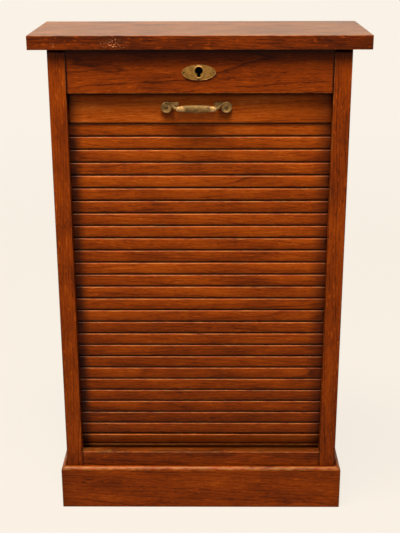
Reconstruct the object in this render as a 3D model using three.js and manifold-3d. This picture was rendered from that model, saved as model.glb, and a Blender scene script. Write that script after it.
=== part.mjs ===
import * as THREE from 'three';
import { mergeVertices } from 'three/addons/utils/BufferGeometryUtils.js';
import Module from 'manifold-3d';

const wasm = await Module();
wasm.setup();

// A cabinet with a slatted curtain that runs down its front, round a bend in its base
// and up behind a false back. Lengths are in millimetres. X runs to the right, Y to the
// back and Z up. The floor is Z = 0, and the middle of the footprint is X = 0, Y = 0.

// Carcass
const carcassWidth = 520;
const sideThickness = 30;
const topThickness = 24;
const topSideOverhang = 32.5;
const topFrontOverhang = 8;
const fitGap = 0.3; // left between pieces that are glued, nailed or screwed together
const housingDepth = 8; // how far rails, floor and shelves are let into the sides
const overrun = 2; // how far a cutting shape passes the face that it opens

// Plinth, mitred round the foot of the carcass
const plinthHeight = 87;
const plinthThickness = 11;
const plinthEdgeRadius = 7;

// Rails across the front
const friezeHeight = 75.5;
const friezeThickness = 22;
const friezeSetback = 2;
const bottomRailDrop = 42; // its top, below the level where the bend begins
const bottomRailHeight = 75;
const bottomRailSetback = 0.5;
const bottomRailClearance = 4.85; // in front of the groove, at the rail's top

// Curtain of slats on canvas, and the grooves that guide it
const curtainSetback = 19; // its middle plane, behind the front edges of the sides
const bendRadius = 93;
const bendHeight = 157.5; // where the straight runs end and the bend begins
const straightSlatCount = 25; // slats on the straight front run, which set the cabinet's height
const bendLead = 13.5; // left of the straight run below those slats
const slatPitch = 23.4;
const slatGap = 0.6;
const slatThickness = 9;
const slatArrisRadius = 2;
const slatFootRadius = 4.5; // the lower front corner, rounder than the upper
const bendSlatCount = 5; // slats that already lie in the bend when the curtain is up
const canvasThickness = 0.8;
const canvasMargin = 6;
const canvasGap = 0.2;
const runningClearance = 0.6;
const endClearance = 0.5;
const grooveDepth = 8;
const backRunHeadroom = 236; // from the end of the back run's groove to the top board

// Lead rail at the upper end of the curtain
const leadRailHeight = 53;
const leadRailThickness = 14;
const leadRailTopGap = 1.5;
const leadRailSideGap = 1;
const leadRailArrisRadius = 2;
const leadRailFootRadius = 4;

// Inside of the cabinet
const boardThickness = 12;
const shelfCount = 3;
const shelfSetback = 5; // behind the groove of the front run
const floorLift = 0.5; // above the level where the bend begins
const falseBackThickness = 7;
const falseBackClearance = 4.2; // in front of the groove of the back run
const backPanelThickness = 8;
const backPanelClearance = 8.9; // behind the groove of the back run
const backRebateWidth = 10;
const backPanelLift = 15;

// Lock in the frieze, with its bolt drawn up
const lockX = -1.7;
const lockWidth = 60;
const lockHeadroom = 10; // above the middle of the keyhole's round part
const lockDepth = 10;
const lockWall = 1.5;
const lockPlateThickness = 1.2;
const lockHoleRadius = 4.2; // the steel plate's own keyhole, smaller than the one in front of it
const lockSlotWidth = 3.2;
const lockSlotDrop = 9.5;
const boltWidth = 16;
const boltThickness = 4.5;
const boltTipInset = 0.5;
const boltShankLength = 12;
const boltTailWidth = 34;
const boltTailHeight = 12;
const boltClearance = 0.3;
const strikeLength = 36;
const strikeEdge = 2.5; // wood left in front of the strike plate and behind it
const strikeThickness = 1.2;
const mortiseDepth = 9.5;
const mortiseClearance = 0.6;

// Keyhole and its plate
const keyholeRise = 39; // middle of its round part, above the foot of the frieze
const keyholeRadius = 6.6;
const keySlotWidth = 5.8; // at its foot, below sides that taper
const keySlotDrop = 11; // foot of the slot, below the middle of the round part
const keyPinRadius = 1.5;
const woodKeyholeMargin = 0.4;
const escutcheonWidth = 58;
const escutcheonHeight = 26.2;
const escutcheonDrop = 2.6; // its middle, below the middle of the round part
const escutcheonThickness = 1.5;
const escutcheonRingWidth = 19;
const escutcheonRingHeight = 21.5;
const escutcheonRingDrop = 1.9; // its middle, below the middle of the round part
const escutcheonRingRise = 1.2;
const escutcheonPinInset = 3.4;
const escutcheonPinGap = 0.25; // from the lowest pin's head to the ring
const escutcheonPinHeadRadius = 1.3;
const escutcheonPinHeadRise = 0.7;
const escutcheonPinRadius = 0.7;
const escutcheonPinLength = 8;
const pinHoleMargin = 0.3;

// Cast pull on the lead rail
const pullX = -6;
const pullDrop = 24.5; // the middle of the grip, below the top of the lead rail
const pullFootSpacing = 104;
const pullFootLift = 1.3; // the middle of a foot, above the middle of the grip
const pullFootRadius = 10;
const pullFootRise = 5.5;
const pullDishDepth = 2;
const pullRimWidth = 2.5;
const pullTabLength = 21; // from the middle of its foot
const pullTabHeight = 9; // up from the middle of its foot
const pullTabThickness = 2.5;
const pullGripInset = 18; // from a foot's middle to the end of the grip
const pullGripHeight = 13.5;
const pullGripEndHeight = 7.5;
const pullGripDepth = 9;
const pullGripStandOff = 14; // from the rail's face to the middle of the grip
const pullArmRadius = 2.8;
const pullArmInset = 9; // where an arm leaves its foot, in from the foot's middle
const pullArmLift = 3.5; // and above it
const pullScrewHeadRadius = 3.4;
const pullScrewHeadRise = 1.4;
const pullScrewRadius = 1.6;
const pullScrewLength = 12;
const screwHoleMargin = 0.4;

// Steps of the curved outlines
const arcSteps = 12;
const smallArcSteps = 4;
const roundSteps = 16;
const armSteps = 8;
const armSides = 8;
const gripSteps = 10;

// Shares of the sizes above
const arrisReachShare = 0.5;
const pullDishFloorShare = 0.55;
const armBendShare = 0.6;
const gripTaperPowerShare = 0.8;

// Places worked out from the sizes
const canvasLineRadius = bendRadius - slatThickness / 2;
const bendRelief = slatPitch ** 2 / (8 * canvasLineRadius); // how far a slat dips inside the bend
const grooveOuter = slatThickness / 2 + runningClearance;
const grooveInner = grooveOuter + bendRelief;
const carcassDepth = curtainSetback + 2 * bendRadius + grooveOuter + backPanelClearance + backPanelThickness;
const frontReach = Math.max(plinthThickness, topFrontOverhang);
const frontY = (frontReach - carcassDepth) / 2;
const backY = frontY + carcassDepth;
const insideX = carcassWidth / 2 - sideThickness;
const outsideX = carcassWidth / 2;
const housedX = insideX + housingDepth - fitGap;
const straightRun = bendLead + straightSlatCount * slatPitch;
const leadRailBottom = bendHeight + straightRun;
const leadRailTop = leadRailBottom + leadRailHeight;
const friezeBottom = leadRailTop + leadRailTopGap;
const topUnderside = friezeBottom + friezeHeight;
const friezeFront = frontY + friezeSetback;
const friezeBack = friezeFront + friezeThickness;
const curtainY = frontY + curtainSetback;
const leadRailFront = curtainY - leadRailThickness / 2;
const canvasLineY = curtainY + slatThickness / 2;
const bendCentreY = curtainY + bendRadius;
const backRunY = curtainY + 2 * bendRadius;
const backRunTop = topUnderside - backRunHeadroom;
const slatHalfLength = insideX + grooveDepth - endClearance;
const bottomRailTop = bendHeight - bottomRailDrop;
const bottomRailFront = frontY + bottomRailSetback;
const bottomRailBack = bendCentreY - bottomRailClearance -
  Math.sqrt((bendRadius + grooveOuter) ** 2 - bottomRailDrop ** 2);
const shelfFront = curtainY + grooveInner + shelfSetback;
const falseBackBack = backRunY - grooveInner - falseBackClearance;
const falseBackFront = falseBackBack - falseBackThickness;
const floorBottom = bendHeight + floorLift;
const floorTop = floorBottom + boardThickness;
const shelfSpacing = (topUnderside - floorTop - shelfCount * boardThickness) / (shelfCount + 1);
const pullZ = leadRailTop - pullDrop;
const pullFootZ = pullZ + pullFootLift;
const pullGripLength = pullFootSpacing - 2 * pullGripInset;
const pullScrewReach = pullScrewLength - 3 * fitGap - (pullFootRise - pullDishDepth); // into the rail
const keyholeHeight = friezeBottom + keyholeRise;
const escutcheonZ = keyholeHeight - escutcheonDrop;
const escutcheonRingZ = keyholeHeight - escutcheonRingDrop;
const lockHeight = keyholeRise + lockHeadroom;
const strikeWidth = leadRailThickness - 2 * strikeEdge;

const xAxis = new THREE.Vector3(1, 0, 0);
const yAxis = new THREE.Vector3(0, 1, 0);
const zAxis = new THREE.Vector3(0, 0, 1);

function finish(colour, roughness, metalness) {
  return () => new THREE.MeshStandardMaterial({ color: colour, roughness, metalness });
}
const oakFace = finish('#8a4a20', 0.4, 0);
const oakEdge = finish('#7a3f1a', 0.45, 0);
const oakInside = finish('#a87848', 0.6, 0);
const canvasCloth = finish('#7d6f55', 0.95, 0);
const agedBrass = finish('#9a7f45', 0.4, 0.9);
const darkSteel = finish('#4b463f', 0.5, 0.9);

const cabinet = new THREE.Group();
cabinet.name = 'tambour_cabinet';

function place(name, geometry, material) {
  const mesh = new THREE.Mesh(geometry, material());
  mesh.name = name;
  cabinet.add(mesh);
  return mesh;
}

function block(x0, x1, y0, y1, z0, z1) {
  const geometry = new THREE.BoxGeometry(x1 - x0, y1 - y0, z1 - z0);
  return geometry.translate((x0 + x1) / 2, (y0 + y1) / 2, (z0 + z1) / 2);
}

function extrude(shape, depth, steps = arcSteps) {
  return new THREE.ExtrudeGeometry(shape, { depth, bevelEnabled: false, curveSegments: steps });
}

// An outline in Y and Z, carried from one X to another
function alongX(shape, x0, x1, steps) {
  const geometry = extrude(shape, x1 - x0, steps);
  geometry.applyMatrix4(new THREE.Matrix4().makeBasis(yAxis, zAxis, xAxis));
  return geometry.translate(x0, 0, 0);
}

// An outline in X and Z, carried from the back towards the front
function alongY(shape, front, back, steps) {
  const geometry = extrude(shape, back - front, steps);
  geometry.applyMatrix4(new THREE.Matrix4().makeBasis(xAxis, zAxis, yAxis.clone().negate()));
  return geometry.translate(0, back, 0);
}

// A turned shape whose axis runs to the front, from outline points of radius and rise
function turnedToFront(points, x, back, z, steps = roundSteps) {
  const geometry = new THREE.LatheGeometry(points, steps);
  geometry.applyMatrix4(new THREE.Matrix4().makeBasis(xAxis, yAxis.clone().negate(), zAxis.clone().negate()));
  return geometry.translate(x, back, z);
}

function toSolid(source) {
  const bare = source.clone();
  bare.deleteAttribute('normal');
  bare.deleteAttribute('uv');
  const merged = mergeVertices(bare);
  const vertProperties = new Float32Array(merged.attributes.position.array);
  const triVerts = new Uint32Array(merged.index.array);
  return new wasm.Manifold(new wasm.Mesh({ numProp: 3, vertProperties, triVerts }));
}

function toGeometry(solid) {
  const { vertProperties, triVerts } = solid.getMesh();
  const geometry = new THREE.BufferGeometry();
  geometry.setAttribute('position', new THREE.BufferAttribute(vertProperties, 3));
  geometry.setIndex(new THREE.BufferAttribute(triVerts, 1));
  return geometry;
}

function cut(body, ...tools) {
  return toGeometry(tools.reduce((rest, tool) => rest.subtract(toSolid(tool)), toSolid(body)));
}

function join(body, ...others) {
  return toGeometry(others.reduce((sum, other) => sum.add(toSolid(other)), toSolid(body)));
}

// Top board, flush with the carcass at the back
function makeTop() {
  const reach = outsideX + topSideOverhang;
  place('top_board', block(-reach, reach, frontY - topFrontOverhang, backY,
    topUnderside, topUnderside + topThickness), oakFace);
}

// The U-shaped guide for the curtain's ends, as an outline in Y and Z
function grooveOutline() {
  const shape = new THREE.Shape();
  shape.moveTo(curtainY - grooveOuter, friezeBottom);
  shape.lineTo(curtainY - grooveOuter, bendHeight);
  shape.absarc(bendCentreY, bendHeight, bendRadius + grooveOuter, Math.PI, 2 * Math.PI, false);
  shape.lineTo(backRunY + grooveOuter, backRunTop);
  shape.lineTo(backRunY - grooveInner, backRunTop);
  shape.lineTo(backRunY - grooveInner, bendHeight);
  shape.absarc(bendCentreY, bendHeight, bendRadius - grooveInner, 2 * Math.PI, Math.PI, true);
  shape.lineTo(curtainY + grooveInner, friezeBottom);
  shape.closePath();
  return shape;
}

function shelfBottom(number) {
  return floorTop + number * shelfSpacing + (number - 1) * boardThickness;
}

// One side board, with its groove, its housings and the rebate for the back panel
function makeSide(name, side) {
  const span = (x0, x1) => [Math.min(side * x0, side * x1), Math.max(side * x0, side * x1)];
  const board = block(...span(insideX, outsideX), frontY, backY, 0, topUnderside - fitGap);
  const housing = (y0, y1, z0, z1) =>
    block(...span(insideX - overrun, insideX + housingDepth), y0, y1, z0, z1);
  const aroundBoard = (y0, y1, z0) =>
    housing(y0 - fitGap, y1 + fitGap, z0 - fitGap, z0 + boardThickness + fitGap);
  const tools = [
    alongX(grooveOutline(), ...span(insideX - overrun, insideX + grooveDepth)),
    housing(friezeFront - fitGap, friezeBack + fitGap, friezeBottom, topUnderside + overrun),
    housing(bottomRailFront - fitGap, bottomRailBack + fitGap,
      bottomRailTop - bottomRailHeight - fitGap, bottomRailTop + fitGap),
    housing(falseBackFront - fitGap, falseBackBack + fitGap, floorBottom - fitGap, topUnderside + overrun),
    block(...span(insideX - overrun, insideX + backRebateWidth),
      backY - backPanelThickness - fitGap, backY + overrun, -overrun, topUnderside + overrun),
    aroundBoard(shelfFront, falseBackFront, floorBottom),
  ];
  for (let number = 1; number <= shelfCount; number += 1) {
    tools.push(aroundBoard(shelfFront, falseBackFront, shelfBottom(number)));
  }
  place(name, cut(board, ...tools), oakFace);
}

// The plinth's section, from the carcass outwards
function plinthSection() {
  const shape = new THREE.Shape();
  shape.moveTo(fitGap, 0);
  shape.lineTo(plinthThickness, 0);
  shape.lineTo(plinthThickness, plinthHeight - plinthEdgeRadius);
  shape.absarc(plinthThickness - plinthEdgeRadius, plinthHeight - plinthEdgeRadius,
    plinthEdgeRadius, 0, Math.PI / 2, false);
  shape.lineTo(fitGap, plinthHeight);
  shape.closePath();
  return shape;
}

// Every point of a plinth board is put at its outward distance, and its ends are mitred by it
function plinthBoard(locate) {
  const geometry = extrude(plinthSection(), 1, smallArcSteps);
  const position = geometry.attributes.position;
  for (let index = 0; index < position.count; index += 1) {
    const [x, y] = locate(position.getX(index), position.getZ(index));
    position.setXYZ(index, x, y, position.getY(index));
  }
  return geometry;
}

function makePlinth() {
  place('plinth_front', plinthBoard((outward, end) =>
    [(end ? -1 : 1) * (outsideX + outward), frontY - outward]), oakFace);
  place('plinth_right', plinthBoard((outward, end) =>
    [outsideX + outward, end ? frontY - outward + fitGap : backY]), oakFace);
  place('plinth_left', plinthBoard((outward, end) =>
    [-outsideX - outward, end ? backY : frontY - outward + fitGap]), oakFace);
}

// A keyhole: a round hole over a slot that reaches down to its foot, with straight or tapering sides
function keyholeOutline(radius, half, drop, tapering) {
  const reach = tapering
    ? Math.atan2(half, drop) + Math.acos(radius / Math.hypot(half, drop))
    : Math.asin(half / radius);
  const shape = new THREE.Shape();
  shape.absarc(lockX, keyholeHeight, radius, -Math.PI / 2 + reach, 1.5 * Math.PI - reach, false);
  shape.lineTo(lockX - half, keyholeHeight - drop);
  shape.lineTo(lockX + half, keyholeHeight - drop);
  shape.closePath();
  return shape;
}

// Where the small pins hold the escutcheon, as X and Z
function pinSpots() {
  const reach = escutcheonWidth / 2 - escutcheonPinInset;
  return {
    left: [lockX - reach, escutcheonZ],
    right: [lockX + reach, escutcheonZ],
    bottom: [lockX, escutcheonRingZ - escutcheonRingHeight / 2 - escutcheonPinGap - escutcheonPinHeadRadius],
  };
}

function makeFrieze() {
  const rail = block(-housedX, housedX, friezeFront, friezeBack,
    friezeBottom + fitGap, topUnderside - fitGap);
  const half = lockWidth / 2 + fitGap;
  const recess = block(lockX - half, lockX + half, lockFront() - fitGap, friezeBack + overrun,
    friezeBottom - overrun, friezeBottom + lockHeight + 2 * fitGap);
  const outline = keyholeOutline(keyholeRadius + woodKeyholeMargin, keySlotWidth / 2 + woodKeyholeMargin,
    keySlotDrop + woodKeyholeMargin, true);
  const keyhole = alongY(outline, friezeFront - overrun, friezeBack, smallArcSteps);
  const holes = Object.values(pinSpots()).map(([x, z]) => {
    const hole = new THREE.CylinderGeometry(
      escutcheonPinRadius + pinHoleMargin, escutcheonPinRadius + pinHoleMargin,
      escutcheonPinLength + overrun, armSides);
    return hole.translate(x, friezeFront + (escutcheonPinLength - overrun) / 2, z);
  });
  place('frieze_rail', cut(rail, recess, keyhole, ...holes), oakFace);
}

function makeBottomRail() {
  place('bottom_rail', block(-housedX, housedX, bottomRailFront, bottomRailBack,
    bottomRailTop - bottomRailHeight, bottomRailTop), oakFace);
}

function makeInside() {
  const boardBack = falseBackFront - fitGap;
  const top = topUnderside - fitGap;
  place('cabinet_floor', block(-housedX, housedX, shelfFront, boardBack,
    floorBottom, floorTop), oakInside);
  for (let number = 1; number <= shelfCount; number += 1) {
    const bottom = shelfBottom(number);
    place(`shelf_${number}`, block(-housedX, housedX, shelfFront, boardBack,
      bottom, bottom + boardThickness), oakInside);
  }
  place('false_back', block(-housedX, housedX, falseBackFront, falseBackBack,
    floorBottom, top), oakInside);
  const panelHalf = insideX + backRebateWidth - fitGap;
  place('back_panel', block(-panelHalf, panelHalf, backY - backPanelThickness, backY,
    backPanelLift, top), oakEdge);
}

// A point on the line where the canvas meets the slats, this far below the lead rail,
// with the direction that points into the bend
function canvasPoint(run) {
  const turn = Math.max(0, run - straightRun) / canvasLineRadius;
  const inward = new THREE.Vector3(0, Math.cos(turn), Math.sin(turn));
  const fall = Math.min(run, straightRun);
  const centre = new THREE.Vector3(0, bendCentreY, leadRailBottom - fall);
  return { point: centre.addScaledVector(inward, -canvasLineRadius), inward };
}

// A slat's section: flat at the back, with its front corners rounded
function slatSection(height, thickness, arris, foot) {
  const shape = new THREE.Shape();
  shape.moveTo(0, -height / 2);
  shape.lineTo(0, height / 2);
  shape.lineTo(arris - thickness, height / 2);
  shape.absarc(arris - thickness, height / 2 - arris, arris, Math.PI / 2, Math.PI, false);
  shape.absarc(foot - thickness, foot - height / 2, foot, Math.PI, 1.5 * Math.PI, false);
  shape.closePath();
  return shape;
}

function makeSlats() {
  const height = slatPitch - slatGap;
  const section = slatSection(height, slatThickness, slatArrisRadius, slatFootRadius);
  const geometry = alongX(section, -slatHalfLength, slatHalfLength, smallArcSteps);
  for (let number = 1; number <= straightSlatCount + bendSlatCount; number += 1) {
    const upper = canvasPoint((number - 1) * slatPitch).point;
    const lower = canvasPoint(number * slatPitch).point;
    const slat = place(`slat_${String(number).padStart(2, '0')}`, geometry, oakFace);
    slat.position.copy(upper).add(lower).multiplyScalar(0.5);
    slat.rotation.x = Math.atan2(lower.y - upper.y, upper.z - lower.z);
  }
}

// A strip of canvas on the backs of the slats from one slat joint to another
function canvasStrip(first, last) {
  const outer = [];
  const inner = [];
  for (let joint = first; joint <= last; joint += 1) {
    const { point, inward } = canvasPoint(joint * slatPitch);
    outer.push(point.clone().addScaledVector(inward, canvasGap));
    inner.push(point.clone().addScaledVector(inward, canvasGap + canvasThickness));
  }
  const half = insideX - canvasMargin;
  const corners = [...outer, ...inner.reverse()].map((corner) => new THREE.Vector2(corner.y, corner.z));
  return alongX(new THREE.Shape(corners), -half, half);
}

function makeCanvas() {
  const straight = canvasPoint(straightSlatCount * slatPitch).point.z;
  const half = insideX - canvasMargin;
  place('curtain_canvas', block(-half, half, canvasLineY + canvasGap,
    canvasLineY + canvasGap + canvasThickness, straight + fitGap, leadRailBottom - fitGap), canvasCloth);
  place('bend_canvas', canvasStrip(straightSlatCount, straightSlatCount + bendSlatCount), canvasCloth);
}

function pullFootX(side) {
  return pullX + side * pullFootSpacing / 2;
}

function makeLeadRail() {
  const section = slatSection(leadRailHeight, leadRailThickness, leadRailArrisRadius, leadRailFootRadius);
  const half = insideX - leadRailSideGap;
  const middle = (leadRailTop + leadRailBottom) / 2;
  const rail = alongX(section, -half, half, smallArcSteps);
  rail.translate(0, leadRailFront + leadRailThickness, middle);
  const tongue = block(-slatHalfLength, slatHalfLength, curtainY - slatThickness / 2,
    curtainY + slatThickness / 2, leadRailBottom, leadRailTop);
  const strikeHalf = strikeLength / 2 + fitGap;
  const strikeSeat = block(lockX - strikeHalf, lockX + strikeHalf,
    curtainY - strikeWidth / 2 - fitGap, curtainY + strikeWidth / 2 + fitGap,
    leadRailTop - strikeThickness - fitGap, leadRailTop + overrun);
  const mortise = boltBlock(mortiseClearance, leadRailTop - mortiseDepth, leadRailTop + overrun);
  const holes = [-1, 1].map((side) => {
    const radius = pullScrewRadius + screwHoleMargin;
    const depth = pullScrewReach + screwHoleMargin;
    const hole = new THREE.CylinderGeometry(radius, radius, depth + overrun, armSides);
    return hole.translate(pullFootX(side), leadRailFront + (depth - overrun) / 2, pullFootZ);
  });
  place('lead_rail', cut(join(rail, tongue), strikeSeat, mortise, ...holes), oakFace);
}

// A block round the bolt's shank, grown sideways by a clearance
function boltBlock(clearance, bottom, top) {
  const halfWidth = boltWidth / 2 + clearance;
  const halfThickness = boltThickness / 2 + clearance;
  return block(lockX - halfWidth, lockX + halfWidth, curtainY - halfThickness, curtainY + halfThickness,
    bottom, top);
}

function lockFront() {
  return curtainY - lockDepth / 2;
}

function makeLock() {
  const bottom = friezeBottom;
  const top = bottom + lockHeight;
  const front = lockFront();
  const back = front + lockDepth;
  const half = lockWidth / 2;
  const inner = half - lockWall;
  const plateBack = front + lockPlateThickness;
  const shell = cut(
    block(lockX - half, lockX + half, plateBack + fitGap, back, bottom, top),
    block(lockX - inner, lockX + inner, front, back - lockWall, bottom + lockWall, top - lockWall),
    boltBlock(boltClearance, bottom - overrun, bottom + 2 * lockWall));
  const pinLength = back - lockWall - friezeFront;
  const pin = new THREE.CylinderGeometry(keyPinRadius, keyPinRadius, pinLength + lockWall / 2, armSides);
  pin.translate(lockX, friezeFront + (pinLength + lockWall / 2) / 2, keyholeHeight);
  place('lock_case', join(shell, pin), darkSteel);

  const plate = block(lockX - half, lockX + half, front, plateBack, bottom, top);
  const plateHole = keyholeOutline(lockHoleRadius, lockSlotWidth / 2, lockSlotDrop, false);
  const keyhole = alongY(plateHole, front - overrun, plateBack + overrun, smallArcSteps);
  place('lock_plate', cut(plate, keyhole), darkSteel);

  const tip = bottom + boltTipInset;
  const tailBottom = bottom + lockWall + boltShankLength;
  const shankHalf = boltWidth / 2;
  const tailHalf = boltTailWidth / 2;
  const outline = new THREE.Shape([
    new THREE.Vector2(lockX - shankHalf, tip), new THREE.Vector2(lockX + shankHalf, tip),
    new THREE.Vector2(lockX + shankHalf, tailBottom), new THREE.Vector2(lockX + tailHalf, tailBottom),
    new THREE.Vector2(lockX + tailHalf, tailBottom + boltTailHeight),
    new THREE.Vector2(lockX - tailHalf, tailBottom + boltTailHeight),
    new THREE.Vector2(lockX - tailHalf, tailBottom), new THREE.Vector2(lockX - shankHalf, tailBottom),
  ]);
  place('lock_bolt', alongY(outline, curtainY - boltThickness / 2, curtainY + boltThickness / 2), agedBrass);

  const slot = boltBlock(mortiseClearance, leadRailTop - strikeThickness - overrun, leadRailTop + overrun);
  const strike = block(lockX - strikeLength / 2, lockX + strikeLength / 2, curtainY - strikeWidth / 2,
    curtainY + strikeWidth / 2, leadRailTop - strikeThickness, leadRailTop);
  place('strike_plate', cut(strike, slot), agedBrass);
}

function ovalPlate(width, height, z, front, back) {
  const shape = new THREE.Shape();
  shape.absellipse(lockX, z, width / 2, height / 2, 0, 2 * Math.PI, false, 0);
  return alongY(shape, front, back);
}

function makeEscutcheon() {
  const back = friezeFront - fitGap;
  const front = back - escutcheonThickness;
  const plate = ovalPlate(escutcheonWidth, escutcheonHeight, escutcheonZ, front, back);
  const ring = ovalPlate(escutcheonRingWidth, escutcheonRingHeight, escutcheonRingZ,
    front - escutcheonRingRise, front + escutcheonThickness / 2);
  const keyhole = alongY(keyholeOutline(keyholeRadius, keySlotWidth / 2, keySlotDrop, true),
    front - escutcheonRingRise - overrun, back + overrun, smallArcSteps);
  const holes = Object.values(pinSpots()).map(([x, z]) => {
    const radius = escutcheonPinRadius + pinHoleMargin;
    const hole = new THREE.CylinderGeometry(radius, radius, escutcheonThickness + 2 * overrun, armSides);
    return hole.translate(x, (front + back) / 2, z);
  });
  place('escutcheon', cut(join(plate, ring), keyhole, ...holes), agedBrass);
  for (const [spot, [x, z]] of Object.entries(pinSpots())) {
    place(`escutcheon_pin_${spot}`, headedPin(x, z, front - fitGap, escutcheonPinHeadRadius,
      escutcheonPinHeadRise, escutcheonPinRadius, escutcheonPinLength, armSides), darkSteel);
  }
}

// A pin or screw seen head on: a low round head on a shank that runs back into the wood
function headedPin(x, z, seat, headRadius, headRise, radius, length, steps) {
  const shoulder = headRadius * arrisReachShare;
  const points = [
    new THREE.Vector2(0, fitGap - length), new THREE.Vector2(radius, fitGap - length),
    new THREE.Vector2(radius, 0), new THREE.Vector2(headRadius, 0),
    new THREE.Vector2(shoulder, headRise), new THREE.Vector2(0, headRise),
  ];
  return turnedToFront(points, x, seat, z, steps);
}

// One arm of the pull, swept from its foot to the end of the grip
function pullArm(side) {
  const startX = pullFootX(side) - side * pullArmInset;
  const start = new THREE.Vector3(startX, leadRailFront - pullTabThickness, pullFootZ + pullArmLift);
  const gripEnd = pullX + side * pullGripLength / 2;
  const end = new THREE.Vector3(gripEnd - side * pullArmRadius, leadRailFront - pullGripStandOff, pullZ);
  const bend = new THREE.Vector3().lerpVectors(start, end, armBendShare);
  bend.y = end.y;
  const path = new THREE.QuadraticBezierCurve3(start, bend, end);
  const section = new THREE.Shape();
  section.absarc(0, 0, pullArmRadius, 0, 2 * Math.PI, false);
  const options = { steps: armSteps, curveSegments: armSides / 2, extrudePath: path };
  return new THREE.ExtrudeGeometry(section, options);
}

function pullGrip() {
  const points = [new THREE.Vector2(0, -pullGripLength / 2)];
  const end = pullGripEndHeight / 2;
  const swell = (pullGripHeight - pullGripEndHeight) / 2;
  for (let step = 0; step <= gripSteps; step += 1) {
    const along = 2 * step / gripSteps - 1;
    const fullness = Math.cos(along * Math.PI / 2) ** gripTaperPowerShare;
    points.push(new THREE.Vector2(end + swell * fullness, along * pullGripLength / 2));
  }
  points.push(new THREE.Vector2(0, pullGripLength / 2));
  const grip = new THREE.LatheGeometry(points, roundSteps);
  grip.rotateZ(-Math.PI / 2);
  grip.scale(1, pullGripDepth / pullGripHeight, 1);
  return grip.translate(pullX, leadRailFront - pullGripStandOff, pullZ);
}

function pullFoot(side) {
  const x = pullFootX(side);
  const back = leadRailFront - fitGap;
  const hole = pullScrewRadius + screwHoleMargin;
  const floor = pullFootRise - pullDishDepth;
  const rim = pullFootRadius - pullRimWidth;
  const points = [
    new THREE.Vector2(hole, 0), new THREE.Vector2(pullFootRadius, 0),
    new THREE.Vector2(pullFootRadius, pullFootRise - pullRimWidth / 2),
    new THREE.Vector2(pullFootRadius - pullRimWidth / 2, pullFootRise),
    new THREE.Vector2(rim, pullFootRise - pullRimWidth / 2),
    new THREE.Vector2(rim * pullDishFloorShare, floor),
    new THREE.Vector2(hole, floor), new THREE.Vector2(hole, 0),
  ];
  const cup = turnedToFront(points, x, back, pullFootZ);
  const inner = x - side * pullTabLength;
  const shoulder = x - side * (pullFootRadius - pullRimWidth);
  const tab = block(Math.min(inner, shoulder), Math.max(inner, shoulder), back - pullTabThickness, back,
    pullFootZ, pullFootZ + pullTabHeight);
  return join(cup, tab);
}

function makePull() {
  const arms = [pullArm(-1), pullArm(1)];
  const feet = [pullFoot(-1), pullFoot(1)];
  place('pull_handle', join(pullGrip(), ...arms, ...feet), agedBrass);
  const seat = leadRailFront - fitGap - (pullFootRise - pullDishDepth) - fitGap;
  for (const [name, side] of [['left', -1], ['right', 1]]) {
    place(`pull_screw_${name}`, headedPin(pullFootX(side), pullFootZ, seat, pullScrewHeadRadius,
      pullScrewHeadRise, pullScrewRadius, pullScrewLength, roundSteps), agedBrass);
  }
}

makeTop();
makeSide('side_left', -1);
makeSide('side_right', 1);
makePlinth();
makeFrieze();
makeBottomRail();
makeInside();
makeSlats();
makeCanvas();
makeLeadRail();
makeLock();
makeEscutcheon();
makePull();

export default cabinet;
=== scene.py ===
import math
import random

import bmesh
import bpy
from mathutils import Matrix, Vector, noise


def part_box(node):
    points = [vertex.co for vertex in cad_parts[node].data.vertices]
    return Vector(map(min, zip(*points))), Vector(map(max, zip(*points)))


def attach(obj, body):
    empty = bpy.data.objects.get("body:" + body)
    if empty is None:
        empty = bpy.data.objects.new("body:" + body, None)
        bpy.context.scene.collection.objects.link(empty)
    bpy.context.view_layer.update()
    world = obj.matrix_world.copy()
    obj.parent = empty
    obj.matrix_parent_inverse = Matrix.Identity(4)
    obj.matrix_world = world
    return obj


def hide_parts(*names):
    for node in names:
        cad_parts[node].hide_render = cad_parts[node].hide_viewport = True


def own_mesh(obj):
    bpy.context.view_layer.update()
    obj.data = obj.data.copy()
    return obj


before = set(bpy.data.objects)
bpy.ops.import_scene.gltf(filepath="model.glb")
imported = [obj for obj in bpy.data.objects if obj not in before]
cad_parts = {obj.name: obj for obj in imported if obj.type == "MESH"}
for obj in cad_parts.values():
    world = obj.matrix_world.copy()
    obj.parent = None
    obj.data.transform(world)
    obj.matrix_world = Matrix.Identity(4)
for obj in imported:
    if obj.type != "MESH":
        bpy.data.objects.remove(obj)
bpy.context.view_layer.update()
mm = 0.001
nearly = mm / 10  # places closer together than this count as one
weld = mm / 500  # and points closer than this are made one
facing, leaning = 0.9, 0.1  # how far the normal of a face points a way that it faces or leans
thinning = 1.5  # the power by which painted shade and other darkening thin out
dice = random.Random(11)
scene = bpy.context.scene
scene.view_settings.view_transform = "Standard"
print("frame loaded:", len(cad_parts), "nodes")


# Camera, a little under two metres away, in metres, degrees and picture pixels
cameraSettings = {
    "place": (0.01398, -1.87526, 1.10960),
    "pitchDown": 19.13,
    "yaw": 0.471,
    "roll": -0.158,
    "focalPixels": 1028.88,
    "imageLongSide": 533,
    "sensor": 36,
}
cameraData = bpy.data.cameras.new("camera")
cameraData.sensor_width = cameraSettings["sensor"]
cameraData.lens = cameraSettings["focalPixels"] * cameraSettings["sensor"] / cameraSettings["imageLongSide"]
camera = bpy.data.objects.new("camera", cameraData)
scene.collection.objects.link(camera)
camera.matrix_world = (
    Matrix.Translation(cameraSettings["place"])
    @ Matrix.Rotation(math.radians(cameraSettings["yaw"]), 4, "Z")
    @ Matrix.Rotation(math.radians(90 - cameraSettings["pitchDown"]), 4, "X")
    @ Matrix.Rotation(math.radians(cameraSettings["roll"]), 4, "Z")
)
scene.camera = camera


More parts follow.
